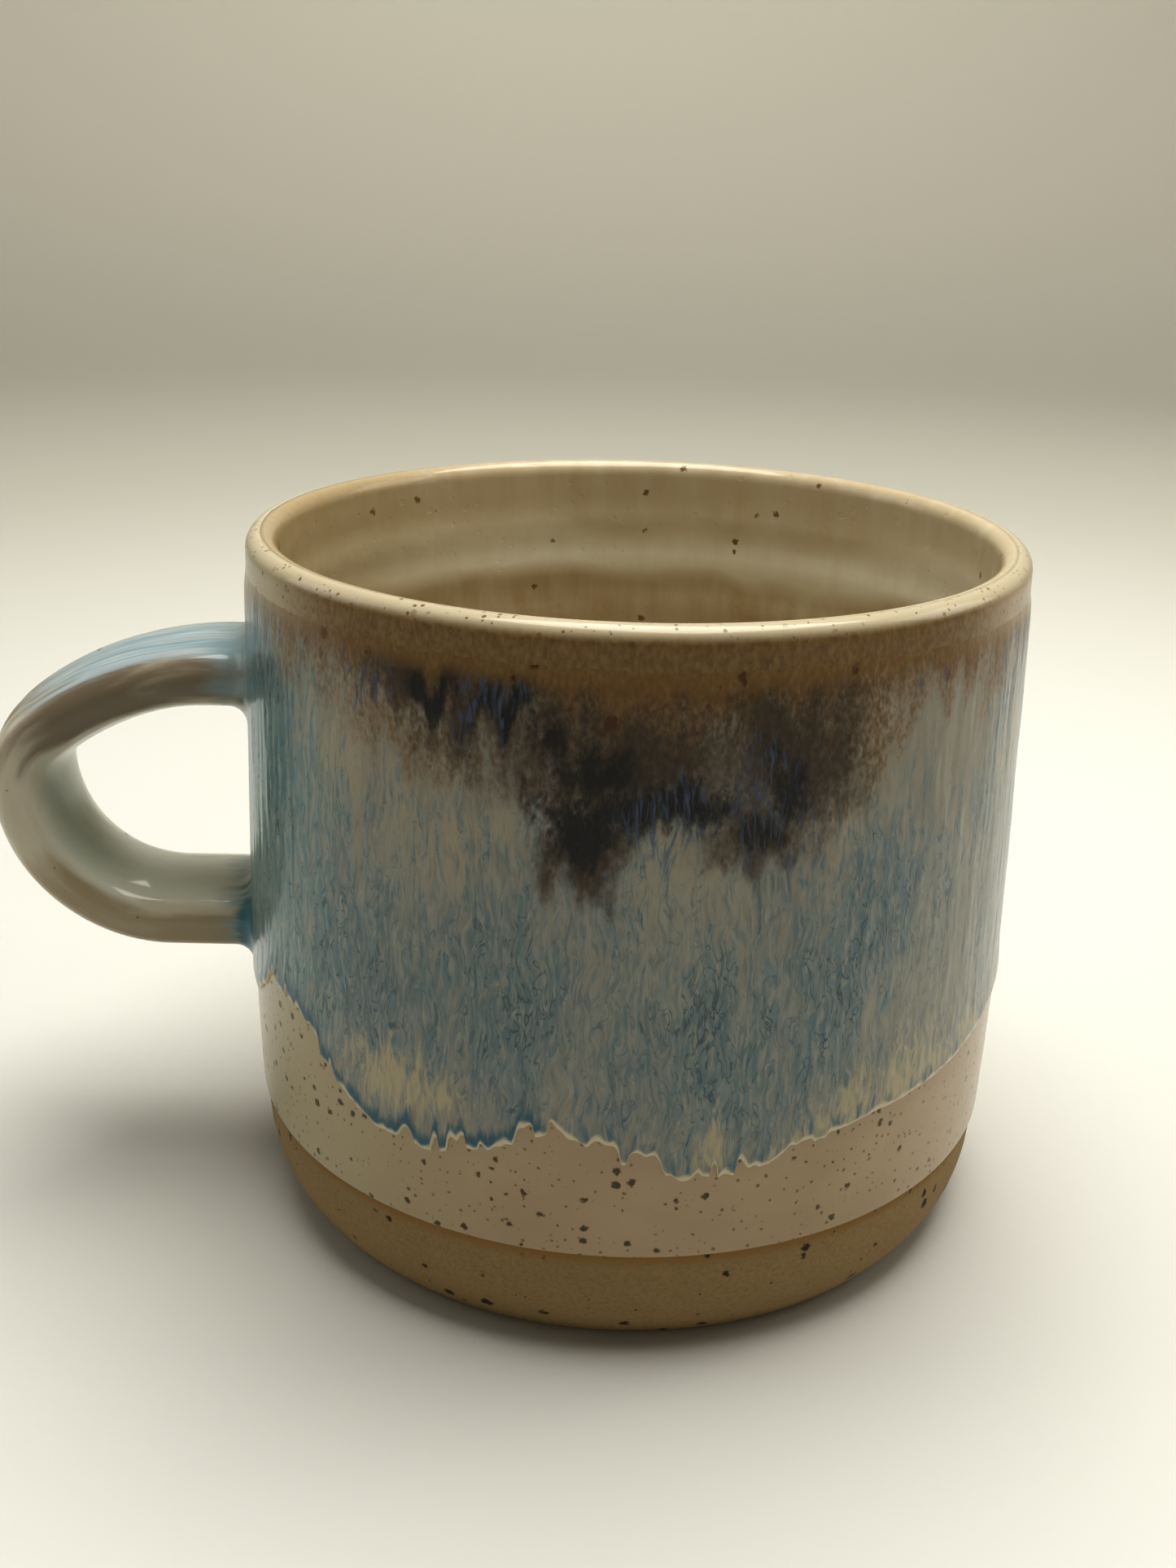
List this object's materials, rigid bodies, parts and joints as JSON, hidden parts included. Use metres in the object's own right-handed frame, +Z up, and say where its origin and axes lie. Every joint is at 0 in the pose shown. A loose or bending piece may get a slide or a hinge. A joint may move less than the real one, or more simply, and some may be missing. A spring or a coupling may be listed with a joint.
{
  "type": "ceramic mug",
  "caption": "Hand-thrown stoneware mug with straight walls, rounded bare foot, pulled strap handle and layered glazes.",
  "frame": {"origin": "centre of the flat of the foot, on the mug's axis", "axes": "+Z up along the mug's axis, -X towards the handle"},
  "size_m": [0.1253, 0.0941, 0.083],
  "materials": {
    "bare_stoneware": "matt speckled buff stoneware, toasted at the glaze line",
    "liner_glaze": "glossy olive-brown glaze with a pale band under the lip",
    "white_glaze": "glossy warm white glaze with iron specks",
    "flowing_glaze": "glossy streaked blue-grey and cream flowing glaze",
    "handle_glaze": "glossy blue-white glaze, brown where thin, blue where it pooled"
  },
  "bodies": {
    "root": {"thrown_body": "bare_stoneware", "pulled_handle": "bare_stoneware", "upper_joint_slip": "bare_stoneware", "lower_joint_slip": "bare_stoneware", "liner_glaze": "liner_glaze", "white_glaze": "white_glaze", "flowing_glaze": "flowing_glaze", "handle_glaze": "handle_glaze"}
  },
  "joints": []
}
